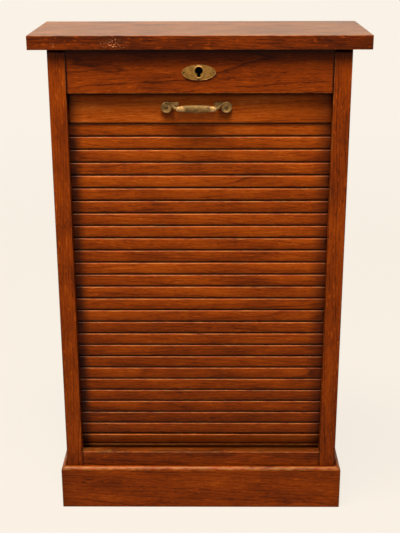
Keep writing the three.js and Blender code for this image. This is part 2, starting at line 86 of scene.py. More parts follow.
def toLinear(hexColour):
    # An sRGB hex colour as the linear colour that shaders take
    channels = [int(hexColour[start:start + 2], 16) / 255 for start in (1, 3, 5)]
    return tuple(c / 12.92 if c <= 0.04045 else ((c + 0.055) / 1.055) ** 2.4 for c in channels) + (1,)


def addNode(tree, kind, settings=None, inputs=()):
    # One node, with inputs in order or by name: plain values, sockets, or nodes for their first output
    node = tree.nodes.new("ShaderNode" + kind)
    for name, value in (settings or {}).items():
        if name == "stops":
            ramp = node.color_ramp.elements
            while len(ramp) < len(value):
                ramp.new(1)
            for element, (position, colour) in zip(ramp, value):
                element.position = position
                element.color = toLinear(colour)
        else:
            setattr(node, name, value)
    for name, value in inputs.items() if isinstance(inputs, dict) else enumerate(inputs):
        if isinstance(value, bpy.types.Node):
            value = value.outputs[0]
        if isinstance(value, bpy.types.NodeSocket):
            tree.links.new(value, node.inputs[name])
        else:
            node.inputs[name].default_value = value
    return node


multiply = {"operation": "MULTIPLY"}
multiplyAdd = {"operation": "MULTIPLY_ADD"}


def newMaterial(name):
    material = bpy.data.materials.new(name)
    material.use_nodes = True
    material.node_tree.nodes.clear()
    return material, material.node_tree


def endMaterial(tree, colour, roughness, height, relief, depth, own):
    # What every surface ends in: a relief so many mm deep, the shader with its own values, the output
    bump = addNode(tree, "Bump", None, {"Strength": relief, "Distance": depth * mm, "Height": height})
    shader = addNode(tree, "BsdfPrincipled", None,
                     {"Base Color": colour, "Roughness": roughness, "Normal": bump, **own})
    addNode(tree, "OutputMaterial", None, {"Surface": shader})


# Oak, flat sawn, stained and varnished by hand: growth rings run out in arches, coarse pores show
# as short dark dashes, and the varnish is a semi-gloss film, rubbed pale along the edges
oakSettings = {  # "roughness" in the dark streaks and in the pale ones, and so for the metals
    "varnishedOak": {
        "stops": [(0.0, "#260b02"), (0.25, "#4b1902"), (0.5, "#7e3104"), (0.72, "#9c4509"), (1.0, "#ba6427")],
        "ring": 0.24, "streak": 0.26, "pores": 0.22, "blotch": 0.26, "plank": 0.05, "fleck": 0.2,
        # the worn colour also makes the painted highlights on the upper corners of slats 27 and 28
        "worn": "#b27b3a", "wear": 0.4, "scraped": "#c07c52",
        "roughness": (0.46, 0.3), "specular": 0.08, "relief": 0.35,
    },
    "sealedOak": {
        "stops": [(0.0, "#4a2a12"), (0.25, "#75491f"), (0.5, "#9c6c37"), (0.72, "#b4854b"), (1.0, "#cfa56c")],
        "ring": 0.2, "streak": 0.3, "pores": 0.22, "blotch": 0.25, "plank": 0.06, "fleck": 0.1,
        "worn": "#c9a270", "wear": 0.2, "scraped": "#d8b98c",
        "roughness": (0.65, 0.5), "specular": 0.3, "relief": 0.4,
    },
}
oakGrain = {
    "ringWidth": 5.2,  # mm
    "ringRunOut": 0.035,
    "ringStops": [(0.0, "#000000"), (0.1, "#ffffff"), (0.3, "#8a8a8a"), (1.0, "#000000")],
    "yearScale": 0.45,
    "yearRange": (0.35, 0.65, 0.15, 1),  # from poor years with weak rings to good ones
    # Patterns: size in mm along, across and through the board, detail, roughness
    "sway": ((210, 45, 45), 2, 0.5),
    "streak": ((42, 2.0, 2.0), 4, 0.6),
    "blotch": ((95, 34, 34), 2, 0.5),
    "pores": ((11, 1.1, 1.1), 2, 0.5),
    "flecks": ((15, 1.7, 4), 1, 0.5),
    "wear": ((16, 5, 5), 4, 0.5),
    "scuff": ((2.8, 1.7, 1.7), 3, 0.7),
    "swayReach": 16,
    "plainLevel": 0.55,  # where a plain board lies on the ramp from dark to pale
    "grimeAndShadeLift": 0.5,
    "dustRange": (0.36, 0.64, 0.5, 1.5),
    "poreDepth": 0.7,
    "glossRange": (0.3, 0.7),
    "reliefDepth": 0.25,
    # the dark of grime, and of painted shade in joints, corners and under things
    "grime": "#200500",
    "dust": "#8f7730",
}
oakSpots = {  # at what level of its pattern a mark starts, and where it is full
    "pores": (0.56, 0.7),
    "flecks": (0.62, 0.72),
    "wear": (0.37, 0.68),
    "scuff": (0.57, 0.65),
}


def makeOak(name):
    look = oakSettings[name]
    material, tree = newMaterial(name)
    plank = addNode(tree, "Attribute", {"attribute_name": "plank"}).outputs["Vector"]
    marks = {mark: addNode(tree, "Attribute", {"attribute_name": mark}).outputs["Fac"]
             for mark in ("tone", "edge", "scuff", "grime", "dust")}

    def pattern(mark, place):
        size, detail, roughness = oakGrain[mark]
        perFeature = tuple(1 / (length * mm) for length in size)
        scaled = addNode(tree, "VectorMath", multiply, [place, perFeature])
        return addNode(tree, "TexNoise", None,
                       {"Vector": scaled, "Scale": 1, "Detail": detail, "Roughness": roughness})

    sway = pattern("sway", plank).outputs["Color"]
    centred = addNode(tree, "VectorMath", {"operation": "SUBTRACT"}, [sway, (0.5, 0.5, 0.5)])
    reach = oakGrain["swayReach"] * mm
    place = addNode(tree, "VectorMath", multiplyAdd, [centred, (0, reach, reach), plank])

    # Growth rings, counted outwards from the middle of the trunk, running out along the board
    fromPith = addNode(tree, "VectorMath", multiply, [place, (0, 1, 1)])
    radius = addNode(tree, "VectorMath", {"operation": "LENGTH"}, [fromPith]).outputs["Value"]
    along = addNode(tree, "SeparateXYZ", None, [place])
    runOut = addNode(tree, "Math", multiplyAdd, [along, oakGrain["ringRunOut"], radius])
    count = addNode(tree, "Math", multiply, [runOut, 1 / (oakGrain["ringWidth"] * mm)])
    phase = addNode(tree, "Math", {"operation": "FRACT"}, [count])
    ring = addNode(tree, "ValToRGB", {"stops": oakGrain["ringStops"]}, [phase])
    yearly = addNode(tree, "TexNoise", {"noise_dimensions": "1D"},
                     {"W": count, "Scale": oakGrain["yearScale"], "Detail": 1})
    strength = addNode(tree, "MapRange", None, [yearly, *oakGrain["yearRange"]])
    rings = addNode(tree, "Math", multiply, [ring, strength])

    streak = pattern("streak", place)
    blotch = pattern("blotch", place)
    spots = {}
    for mark, span in oakSpots.items():
        most = look["wear"] if mark == "wear" else 1
        spots[mark] = addNode(tree, "MapRange", None, [pattern(mark, place), *span, 0, most])

    # From dark to pale: the board's tone, dark rings and pores, pale flecks, streaks and blotches
    level = addNode(tree, "Math", multiplyAdd, [marks["tone"], look["plank"], oakGrain["plainLevel"]])
    for share, field in ((-look["ring"], rings), (-look["pores"], spots["pores"]),
                         (look["fleck"], spots["flecks"])):
        level = addNode(tree, "Math", multiplyAdd, [field, share, level])
    for share, field in ((look["streak"], streak), (look["blotch"], blotch)):
        centred = addNode(tree, "Math", {"operation": "SUBTRACT"}, [field, 0.5])
        level = addNode(tree, "Math", multiplyAdd, [centred, 2 * share, level])
    colour = addNode(tree, "ValToRGB", {"stops": look["stops"]}, [level]).outputs["Color"]

    # What lies over it (wear, scrapes, grime and painted shade, dust): where its pattern lets it show, where
    # the piece has it, its colour
    grimeAndShadeShow = addNode(tree, "Math", {"operation": "ADD"}, [blotch, oakGrain["grimeAndShadeLift"]])
    drifted = addNode(tree, "MapRange", None, [blotch, *oakGrain["dustRange"]])
    for field, mark, over in ((spots["wear"], "edge", look["worn"]),
                              (spots["scuff"], "scuff", look["scraped"]),
                              (grimeAndShadeShow, "grime", oakGrain["grime"]),
                              (drifted, "dust", oakGrain["dust"])):
        share = addNode(tree, "Math", multiply, [field, marks[mark]])
        mixed = addNode(tree, "Mix", {"data_type": "RGBA"}, {0: share, 6: colour, 7: toLinear(over)})
        colour = mixed.outputs[2]

    height = addNode(tree, "Math", multiplyAdd, [spots["pores"], -oakGrain["poreDepth"], streak])
    gloss = addNode(tree, "MapRange", None, [streak, *oakGrain["glossRange"], *look["roughness"]])
    endMaterial(tree, colour, gloss, height, look["relief"], oakGrain["reliefDepth"],
                {"Specular IOR Level": look["specular"]})
    return material


# Brass left to tarnish, a soft yellow metal under a speckled brown film, polished back to bright metal
# where hands and dusters reach: the stamped one smooth and even, the cast one coarser and dustier
brassSettings = {
    "stampedBrass": {"bright": "#b08653", "dull": "#865f29", "film": "#6c4f22", "specks": 0.9, "clouds": 7,
                     "roughness": (0.74, 0.58), "relief": 0.2},
    "castBrass": {"bright": "#c29a68", "dull": "#87653a", "film": "#574328", "specks": 1.3, "clouds": 8,
                  "roughness": (0.68, 0.45), "relief": 0.35},
}
filmSettings = {
    "shares": {"clouds": 0.8, "edge": 0.35, "grime": -0.5},  # against the specks; the edge mark brings wear and painted highlights, the other mark grime, tarnish and painted shade
    "spread": 0.56,
    "levels": (0.38, 0.52, 0.7),  # of the film, the dull metal and the bright metal
    "glossRange": (0.4, 0.7),
    "depth": 0.2,
}


def makeBrass(name):
    look = brassSettings[name]
    material, tree = newMaterial(name)
    place = addNode(tree, "TexCoord").outputs["Object"]
    fields = {mark: addNode(tree, "Attribute", {"attribute_name": mark}).outputs["Fac"]
              for mark in ("edge", "grime")}
    specks, fields["clouds"] = [
        addNode(tree, "TexNoise", None, {"Vector": place, "Scale": 1 / (look[size] * mm), "Detail": detail})
        for size, detail in (("specks", 3), ("clouds", 2))]
    level = specks
    for mark, share in filmSettings["shares"].items():
        level = addNode(tree, "Math", multiplyAdd, [fields[mark], share, level])
    level = addNode(tree, "Math", multiply, [level, filmSettings["spread"]])
    stops = list(zip(filmSettings["levels"], (look["film"], look["dull"], look["bright"])))
    colour = addNode(tree, "ValToRGB", {"stops": stops}, [level])
    gloss = addNode(tree, "MapRange", None, [level, *filmSettings["glossRange"], *look["roughness"]])
    endMaterial(tree, colour, gloss, specks, look["relief"], filmSettings["depth"], {"Metallic": 1.0})
    return material


# Mild steel: gone dark with age, a dull grey-brown metal with paler rubs, and filed plain and pale
steelSettings = {
    "darkSteel": {"colours": ("#1c1510", "#4a3e33"), "rubs": 2.5, "roughness": (0.7, 0.5)},
    "filedSteel": {"colours": ("#8f8a80", "#c4c0b6"), "rubs": 2, "roughness": (0.65, 0.5)},
}
rubSettings = {"levels": (0.4, 0.7), "glossRange": (0.3, 0.7), "relief": 0.3, "depth": 0.1}


def makeSteel(name):
    look = steelSettings[name]
    material, tree = newMaterial(name)
    place = addNode(tree, "TexCoord").outputs["Object"]
    rubs = addNode(tree, "TexNoise", None, {"Vector": place, "Scale": 1 / (look["rubs"] * mm), "Detail": 3})
    stops = list(zip(rubSettings["levels"], look["colours"]))
    colour = addNode(tree, "ValToRGB", {"stops": stops}, [rubs])
    gloss = addNode(tree, "MapRange", None, [rubs, *rubSettings["glossRange"], *look["roughness"]])
    endMaterial(tree, colour, gloss, rubs, rubSettings["relief"], rubSettings["depth"], {"Metallic": 1.0})
    return material


# Cotton canvas, plain woven and stiff with glue: a matt drab cloth with a visible square weave
canvasSettings = {"thread": 1.1, "uneven": 0.4, "stops": [(0.0, "#5c5039"), (0.8, "#9a8a6c")],
                  "roughness": 0.95, "relief": 0.6, "depth": 0.3}


def makeCanvasCloth(name):
    look = canvasSettings
    material, tree = newMaterial(name)
    place = addNode(tree, "Attribute", {"attribute_name": "plank"}).outputs["Vector"]
    perThread = math.pi / 10 / (look["thread"] * mm)  # at a scale of 1 its crests are pi / 10 apart
    threads = [addNode(tree, "TexWave", {"bands_direction": way},
                       {"Vector": place, "Scale": perThread, "Distortion": look["uneven"]}).outputs["Fac"]
               for way in "XY"]
    weave = addNode(tree, "Math", multiply, threads)
    colour = addNode(tree, "ValToRGB", {"stops": look["stops"]}, [weave])
    endMaterial(tree, colour, look["roughness"], weave, look["relief"], look["depth"], {})
    return material


varnishedOak, sealedOak = [makeOak(name) for name in oakSettings]
stampedBrass, castBrass = [makeBrass(name) for name in brassSettings]
darkSteel, filedSteel = [makeSteel(name) for name in steelSettings]
canvasCloth = makeCanvasCloth("cottonCanvas")
varnished = ("varnished_oak", varnishedOak)  # the slot and its material
sealed = ("inner_oak", sealedOak)
print("materials made")


# A face is "eased" if its normal has less than this of every axis
workSettings = {"eased": 0.985, "darkenSteps": (0.2, 0.5, 1), "starts": (0, 9), "tones": (-1, 1),
                "flatWeight": 80}


def partWay(start, end, share):
    return start + (end - start) * share


def upToOne(value):
    return min(1, max(0, value))


def newPiece():
    # A mesh with what the materials read: place in the plank, tone, grime and painted shade, scuffs, dust,
    # worn edges and painted highlights
    bm = bmesh.new()
    for mark in ("grime", "scuff", "dust", "tone"):
        bm.verts.layers.float.new(mark)
    bm.verts.layers.float_vector.new("plank")
    bm.faces.layers.float.new("edge")
    return bm


def mergedCopy(node):
    # The CAD node's loose triangles as one closed mesh with whole flat faces
    bm = newPiece()
    bm.from_mesh(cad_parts[node].data)
    bmesh.ops.remove_doubles(bm, verts=bm.verts, dist=weld)
    bmesh.ops.dissolve_limit(bm, angle_limit=math.radians(0.5), verts=bm.verts, edges=bm.edges)
    return bm


def addBlock(bm, size, middle):
    verts = bmesh.ops.create_cube(bm, size=1)["verts"]
    bmesh.ops.scale(bm, vec=size, verts=verts)
    bmesh.ops.translate(bm, vec=middle, verts=verts)
    return verts


def edgesAt(verts):
    # The edges at these points, each once and in a fixed order
    return list(dict.fromkeys(edge for vert in verts for edge in vert.link_edges))


def addRing(bm, segments):
    # A circle to be shaped into one cross-section, as its points and its edges
    verts = bmesh.ops.create_circle(bm, segments=segments, radius=1)["verts"]
    return verts, edgesAt(verts)


def easeEdges(bm, radius, segments=3, where=None, edges=None):
    # Rounds the given edges, or all, as far as the test picks them
    picked = [edge for edge in edges or bm.edges if where is None or where(*[v.co for v in edge.verts])]
    bmesh.ops.bevel(bm, geom=picked, offset=radius * mm, offset_type="OFFSET", segments=segments, profile=0.5,
                    affect="EDGES", material=-1, clamp_overlap=True)


def cutPlane(bm, place, normal, clear=False):
    return bmesh.ops.bisect_plane(bm, geom=bm.verts[:] + bm.edges[:] + bm.faces[:], plane_co=place,
                                  plane_no=normal, clear_outer=clear)["geom_cut"]


def cutAcross(bm, axis, places, unit=mm):
    # Cuts at these places along the axis, for edges that waver and marks that fade
    normal = Vector([float(axis == a) for a in "xyz"])
    for place in places:
        cutPlane(bm, normal * place * unit, normal)


def darkenBand(bm, axis, start, end, strength):
    # Darkening that is heaviest at start and fades out towards end, both in millimetres along the axis
    cutAcross(bm, axis, [partWay(start, end, share) for share in workSettings["darkenSteps"]])
    grime = bm.verts.layers.float["grime"]
    for vert in bm.verts:
        along = (getattr(vert.co, axis) / mm - start) / (end - start)
        vert[grime] = max(vert[grime], strength * (1 - upToOne(along)) ** thinning)


def markAreas(bm, mark, areas, deep=3):
    # Marks boxes of the front, given in millimetres as (low x, high x, low z, high z, strength)
    layer = bm.verts.layers.float[mark]
    front = min(vert.co.y for vert in bm.verts)
    for lowX, highX, lowZ, highZ, strength in areas:
        for axis, low, high in (("x", lowX, highX), ("z", lowZ, highZ)):
            cutAcross(bm, axis, [partWay(low, high, quarter / 4) for quarter in range(5)])
        for vert in bm.verts:
            if (lowX * mm + nearly < vert.co.x < highX * mm - nearly and vert.co.y < front + deep * mm
                    and lowZ * mm + nearly < vert.co.z < highZ * mm - nearly):
                vert[layer] = max(vert[layer], strength)


def markPlank(bm, axes, pith, tone=None, start=None):
    # Where each point lay in the trunk: along it, and across and through from its middle, in metres
    plank = bm.verts.layers.float_vector["plank"]
    toneLayer = bm.verts.layers.float["tone"]
    edge = bm.faces.layers.float["edge"]
    start = dice.uniform(*workSettings["starts"]) if start is None else start
    tone = dice.uniform(*workSettings["tones"]) if tone is None else tone
    offset = Vector((start, pith[0] * mm, pith[1] * mm))
    for vert in bm.verts:
        vert[plank] = Vector([getattr(vert.co, axis) for axis in axes]) + offset
        vert[toneLayer] = tone
    bm.normal_update()
    for face in bm.faces:
        face[edge] = float(max(abs(value) for value in face.normal) < workSettings["eased"])


def finishPiece(bm, name, body, node, slotName, material, weighted=True):
    mesh = bpy.data.meshes.new(name)
    bm.to_mesh(mesh)
    bm.free()
    mesh.materials.append(material)
    mesh.polygons.foreach_set("use_smooth", [True] * len(mesh.polygons))
    piece = bpy.data.objects.new(name, mesh)
    scene.collection.objects.link(piece)
    if weighted:
        modifier = piece.modifiers.new("flat faces stay flat", "WEIGHTED_NORMAL")
        modifier.weight = workSettings["flatWeight"]
    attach(piece, body)
    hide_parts(node)
    return piece


# Plain boards. "axes" run along, across and through the grain, "pith" is added to the last two to count from
# the trunk's middle, "ledge" darkens the top (front left, front right, back left, back right), as painted
# shade on the top board and as dirt on the bottom rail, and "rubbedTop" is wear there, left of an x and right
# of it.
# Edges are eased by 0.8 mm or by "ease"
boardSettings = {
    # the top board's dark tone and the ledge on its top are painted shade: darker than the light from above
    # leaves it
    "topBoard": {"node": "top_board", "axes": "xyz", "pith": (60, 120), "ease": 0.9, "tone": -4.4,
                 "ledge": (0.34, 0.5, 0.34, 0.5), "rubbedTop": (0.2, 0.15, -100), "dust": 0.06,
                 "scuffs": [(-176, -118, 887, 904, 0.8), (-166, -134, 888, 907, 1),
                            (-254, -243, 889, 899, 0.6)]},
    "bottomRail": {"node": "bottom_rail", "axes": "xzy", "pith": (20, 60), "tone": -3.0,
                   "ledge": (0.45, 0.6, 0.6, 0.85), "rubbedTop": (0.5, 0.1, -100), "dust": 0.02,
                   "scuffs": [(-204, -174, 109, 115, 0.7), (-228, -214, 107, 114, 0.7)],
                   # painted shade at the joints with the sides
                   "paintedShade": [("x", -230, -224, 0.8), ("x", 230, 224, 0.8)]},
    "backPanel": {"node": "back_panel", "axes": "zxy", "pith": (60, 50), "tone": -0.4},
    "cabinetFloor": {"node": "cabinet_floor", "axes": "xyz", "pith": (30, 60), "sealed": True},
    "shelfLower": {"node": "shelf_1", "axes": "xyz", "pith": (-40, 60), "sealed": True},
    "shelfMiddle": {"node": "shelf_2", "axes": "xyz", "pith": (50, 45), "sealed": True},
    "shelfUpper": {"node": "shelf_3", "axes": "xyz", "pith": (10, 80), "sealed": True},
    "falseBack": {"node": "false_back", "axes": "zxy", "pith": (-30, 50), "ease": 0.6, "sealed": True},
}


def makeBoard(name, board):
    low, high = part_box(board["node"])
    bm = newPiece()
    addBlock(bm, high - low, (low + high) / 2)
    easeEdges(bm, board.get("ease", 0.8))
    markAreas(bm, "scuff", board.get("scuffs", []))
    markPlank(bm, board["axes"], board["pith"], board.get("tone"))
    if "ledge" in board:
        grime = bm.verts.layers.float["grime"]
        dust = bm.verts.layers.float["dust"]
        for vert in bm.verts:
            if vert.co.z > high.z - nearly:
                vert[grime] = board["ledge"][2 * (vert.co.y > (low.y + high.y) / 2) + (vert.co.x > 0)]
                vert[dust] = board["dust"]
        left, right, divide = board["rubbedTop"]
        edge = bm.faces.layers.float["edge"]
        for face in bm.faces:
            if face.normal.z > facing:
                face[edge] = right if face.calc_center_median().x > divide * mm else left
    for band in board.get("paintedShade", []):
        darkenBand(bm, *band)
    finishPiece(bm, name, "root", board["node"], *(sealed if board.get("sealed") else varnished))


for boardName, board in boardSettings.items():
    makeBoard(boardName, board)
print("boards made")


# Side boards, with their grooves and housings: only the outer corners are eased
sideSettings = {
    "ease": 0.9,
    "piths": {"Left": (112, 150), "Right": (104, -165)},
    "tones": {"Left": -0.9, "Right": -1.2},
    "paintedShade": (885.7, 846, 0.8),  # painted shade under the top board, from it down
}


def makeSide(hand):
    node = "side_" + hand.lower()
    low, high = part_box(node)
    outerX = max(abs(low.x), abs(high.x))
    bm = mergedCopy(node)

    def outerCorner(a, b):
        upright = abs(a.x - b.x) < nearly and abs(a.y - b.y) < nearly
        atFront = abs(a.y - low.y) < nearly
        atOuterBack = abs(a.y - high.y) < nearly and abs(abs(a.x) - outerX) < nearly
        return upright and (atFront or atOuterBack) and abs(a.z - b.z) > mm
    easeEdges(bm, sideSettings["ease"], where=outerCorner)
    darkenBand(bm, "z", *sideSettings["paintedShade"])
    markPlank(bm, "zyx", sideSettings["piths"][hand], sideSettings["tones"][hand])
    finishPiece(bm, "side" + hand, "root", node, *varnished)


for hand in ("Left", "Right"):
    makeSide(hand)
print("sides made")


# Plinth: one U-shaped skirt is rounded all round, and each board is what the mitres leave of it
plinthSettings = {"nose": 7, "corner": 1.8, "foot": 0.8, "mitreGap": 0.15, "pith": (30, 48), "tone": -1.1,
                  # painted shade on the nose, heavier on the side boards, and at the foot by the floor;
                  # darker towards the left end
                  "noseShade": {"Front": 0.31, "Left": 0.55, "Right": 0.55},
                  "footShade": (0, 4, 0.5), "leftEndDarkening": (-271, -230, 0.4)}


def makePlinth(part):
    look = plinthSettings
    node = "plinth_" + part.lower()
    frontLow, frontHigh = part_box("plinth_front")
    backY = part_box("plinth_left")[1].y
    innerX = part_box("plinth_right")[0].x
    outerX, outerY, inner, top = frontHigh.x, frontLow.y, frontHigh.y, frontHigh.z
    bm = newPiece()
    addBlock(bm, (2 * outerX, backY - outerY, top), (0, (backY + outerY) / 2, top / 2))

    def offBack(a, b):
        return min(a.y, b.y) <= backY - nearly

    def outerCorner(a, b):
        return abs(a.z - b.z) > mm / 4 and all(abs(abs(c.x) - outerX - outerY + c.y) < nearly for c in (a, b))
    easeEdges(bm, look["nose"], segments=8, where=lambda a, b: min(a.z, b.z) > top - nearly and offBack(a, b))
    easeEdges(bm, look["corner"], segments=4, where=outerCorner)
    easeEdges(bm, look["foot"], segments=2, where=lambda a, b: max(a.z, b.z) < nearly and offBack(a, b))
    gap = look["mitreGap"] * mm
    if part == "Front":
        cuts = [((outerX - gap, outerY, 0), (1, 1, 0)), ((gap - outerX, outerY, 0), (-1, 1, 0)),
                ((0, inner, 0), (0, 1, 0))]
    else:
        side = 1 if part == "Right" else -1
        cuts = [((side * outerX, outerY + gap, 0), (-side, -1, 0)), ((side * innerX, 0, 0), (-side, 0, 0))]
    for place, outwards in cuts:
        cut = cutPlane(bm, place, Vector(outwards).normalized(), clear=True)
        bmesh.ops.edgeloop_fill(bm, edges=[e for e in cut if isinstance(e, bmesh.types.BMEdge)])
    bmesh.ops.recalc_face_normals(bm, faces=bm.faces)
    darkenBand(bm, "z", *look["footShade"])
    darkenBand(bm, "x", *look["leftEndDarkening"])
    markPlank(bm, "xzy" if part == "Front" else "yzx", look["pith"], look["tone"])
    grime = bm.verts.layers.float["grime"]
    # painted shade on the nose
    for vert in bm.verts:
        if vert.co.z > top - (look["nose"] - 1) * mm:
            vert[grime] = max(vert[grime], look["noseShade"][part])
    finishPiece(bm, "plinth" + part, "root", node, *varnished)


for part in ("Front", "Left", "Right"):
    makePlinth(part)
print("plinth made")


# Rails with cut-outs: the frieze round the lock, and the lead rail with its tongues
railSettings = {
    "friezeRail": {
        # the frieze's dark tone is painted shade under the top board
        "node": "frieze_rail", "body": "root", "pith": (-862, 42), "tone": -1.5, "start": 0.62,
        "ease": 1.0,  # along the front's long edges
        "footWear": 2.2,
        # painted shade under the top board and at the joints with the sides
        "paintedShade": [("z", 885.7, 850, 0.95), ("x", -230, -225.5, 2), ("x", 230, 225.5, 2)]},
    "leadRail": {
        "node": "lead_rail", "body": "tambour", "pith": (-820, 70), "tone": 4.0, "start": 3.1,
        "footWear": 1,
        # painted shade under the frieze, in the joint with the first slat and at the ends by the sides
        "paintedShade": [("z", 809, 802, 0.6), ("z", 756, 758.5, 0.9), ("x", -229, -203, 0.95),
                 ("x", 229, 180, 0.8)],
        "pullShadow": [(-66, 54, 760, 781, 0.45), (-40, 28, 764, 779, 0.55)]},  # painted shadow under the pull
}


def makeRail(name, rail):
    low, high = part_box(rail["node"])
    bm = mergedCopy(rail["node"])
    if "ease" in rail:
        easeEdges(bm, rail["ease"], where=lambda a, b: abs(a.x - b.x) > (high.x - low.x) / 2
                  and abs(a.y - low.y) < nearly and abs(a.z - b.z) < nearly)
    for band in rail["paintedShade"]:
        darkenBand(bm, *band)
    markAreas(bm, "grime", rail.get("pullShadow", []))
    markPlank(bm, "xzy", rail["pith"], rail["tone"], rail["start"])
    edge = bm.faces.layers.float["edge"]
    for face in bm.faces:
        if face.normal.z < -leaning:
            face[edge] *= rail["footWear"]
    finishPiece(bm, name, rail["body"], rail["node"], *varnished)


for railName, rail in railSettings.items():
    makeRail(railName, rail)
print("rails made")


# The curtain: slats on a straight run, then round the bend, each a strip with rounded front corners
curtainSettings = {
    "pitch": 23.4,
    "slatHeight": 22.8,
    "slatThickness": 9,
    "slatHalfLength": 237.5,
    "endHidden": 7.5,  # in the groove
    "straightCount": 25,
    "bendCount": 5,
    "straightRun": 598.5,
    "lineRadius": 88.5,
    "upper": {"round": 2, "segments": 5, "grime": 0.4},  # the front's upper corner, and painted shade in the joint
    "lower": {"round": 4.5, "segments": 8, "grime": 0.85},
    "crown": 0.3,
    "waver": 0.18,
    "waverLength": 45,
    "waverFrom": 0.3,  # of the thickness, off the back
    "rows": 6,
    "slices": 32,
    "endGrimeAndShade": ((0.86, 8, 24), (0.88, -1, 32)),  # grime and painted shade at the ends by the sides, left and right: how heavy, where it thins, where it ends
    "endCuts": (2, 8, 13, 18, 24, 32),  # from the stile, so that it can thin
    "piths": ((-60, 60), (20, 60)),  # drawn between these, like the wear of the corners
    "wear": (0.5, 1.1),
    # slat 1 under the lead rail and slats 27 and 28 in the bend are made paler: painted light where they lie
    # in shade
    "tones": {1: 1.6, 27: 3.5, 28: 6},
    "paler": (1.2, 8),  # painted light, paler at the top, and down to this slat
    "darker": (0.13, 0.009, 12),  # painted shade falling off downwards: darker a slat, and shadier a slat, from this one down
    # painted highlights on the upper corners of slats 27 and 28, and the painted shade left in their joints
    "cornerHighlight": {27: 0.7, 28: 2.5},
    "highlightedCornerShade": 0.1,
    "scuffed": {26: 0.2, 27: 1, 28: 1},
    "scuffSpan": (-206, -150),
    "gather": 0.02,  # what is left of a slat's height once it is drawn in behind the lead rail
    "gatherHeight": 0.35,  # up the lead rail
}
railLow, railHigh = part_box("lead_rail")
straightRun = curtainSettings["straightRun"] * mm
lineRadius = curtainSettings["lineRadius"] * mm
bendCentre = Vector((0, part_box("slat_01")[1].y + lineRadius, railLow.z - straightRun))


def curtainPoint(run, inset=0):
    # A point on the backs of the slats, this far down from the lead rail, in metres
    turn = max(0, run - straightRun) / lineRadius
    radius = lineRadius - inset
    fall = min(run, straightRun)
    return Vector((0, bendCentre.y - radius * math.cos(turn), railLow.z - fall - radius * math.sin(turn)))


def makeSlat(number):
    look = curtainSettings
    half, height, thickness = [look[size] * mm for size in ("slatHalfLength", "slatHeight", "slatThickness")]
    bm = newPiece()
    addBlock(bm, (2 * half, thickness, height), (0, 0, 0))
    for corner, side in (("upper", 1), ("lower", -1)):
        easeEdges(bm, look[corner]["round"], look[corner]["segments"], lambda a, b: abs(a.x - b.x) > half
                  and max(a.y, b.y) < 0 and min(side * a.z, side * b.z) > 0)
    for axis, reach, parts in (("z", height / 2, look["rows"]), ("x", half, look["slices"])):
        cutAcross(bm, axis, [partWay(-reach, reach, part / parts) for part in range(1, parts)], 1)
    cutAcross(bm, "x", [side * (half - (look["endHidden"] + inset) * mm)
                        for inset in look["endCuts"] for side in (-1, 1)], 1)
    seed = 7.3 * number  # no two slats waver alike
    for vert in bm.verts:
        forward = 0.5 - vert.co.y / thickness  # 0 at the back and 1 at the front
        side = 1 if vert.co.z > 0 else -1
        flat = height / 2 - look["upper" if side > 0 else "lower"]["round"] * mm
        rise = min(1, abs(vert.co.z) / flat)
        vert.co.y += look["crown"] * mm * rise * rise * forward
        if abs(vert.co.z) > flat and forward > look["waverFrom"]:
            waver = abs(noise.noise(Vector((vert.co.x / (look["waverLength"] * mm), seed, side))))
            vert.co.z -= side * waver * look["waver"] * mm
            vert.co.y += waver * look["waver"] * mm / 2
    if number in look["scuffed"]:
        reach = height / 2 / mm
        markAreas(bm, "scuff", [(*look["scuffSpan"], -reach, reach, look["scuffed"][number])])
    paler, palerTo = look["paler"]
    darker, shadier, darkerFrom = look["darker"]
    below = max(0, number - darkerFrom)
    tone = dice.uniform(*workSettings["tones"]) + paler * max(0, 1 - number / palerTo) - darker * below
    pith = [dice.uniform(*span) for span in look["piths"]]
    markPlank(bm, "xzy", pith, look["tones"].get(number, tone))
    grime = bm.verts.layers.float["grime"]
    edge = bm.faces.layers.float["edge"]
    # wear on the corners, and painted highlights on those of slats 27 and 28
    for face in bm.faces:
        face[edge] *= look["cornerHighlight"].get(number, dice.uniform(*look["wear"]))
    # painted shade in the joints, grime and painted shade at the ends, and painted shade growing towards the
    # bottom
    for vert in bm.verts:
        corner = look["upper" if vert.co.z > 0 else "lower"]
        depth = max(0, (abs(vert.co.z) - height / 2) / (corner["round"] * mm) + 1)
        inJoint = corner["grime"] * min(1, depth) ** thinning
        if vert.co.z > 0 and number in look["cornerHighlight"]:
            inJoint = look["highlightedCornerShade"]
        heavy, near, far = look["endGrimeAndShade"][int(vert.co.x > 0)]
        inset = (half - abs(vert.co.x)) / mm - look["endHidden"]
        atEnd = heavy * upToOne((far - inset) / (far - near))
        vert[grime] = max(inJoint, atEnd, shadier * below)
    upper = curtainPoint((number - 1) * look["pitch"] * mm)
    lower = curtainPoint(number * look["pitch"] * mm)
    tilt = math.atan2(lower.y - upper.y, upper.z - lower.z)
    bmesh.ops.translate(bm, vec=(0, -thickness / 2, 0), verts=bm.verts)
    bmesh.ops.rotate(bm, cent=(0, 0, 0), matrix=Matrix.Rotation(tilt, 3, "X"), verts=bm.verts)
    bmesh.ops.translate(bm, vec=(upper + lower) / 2, verts=bm.verts)
    straight = number <= look["straightCount"]
    body = "tambour" if straight else "root"
    slat = finishPiece(bm, f"curtainSlat{number:02d}", body, f"slat_{number:02d}", *varnished)
    if straight:
        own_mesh(slat)


for slatNumber in range(1, curtainSettings["straightCount"] + curtainSettings["bendCount"] + 1):
    makeSlat(slatNumber)
print("curtain made")


# Canvas glued to the backs of the slats, in two sheets: the straight run and the stretch in the bend
clothSettings = {"thickness": 0.5, "behind": 0.6, "endGap": 0.3, "bendInset": 1.4, "steps": 14}


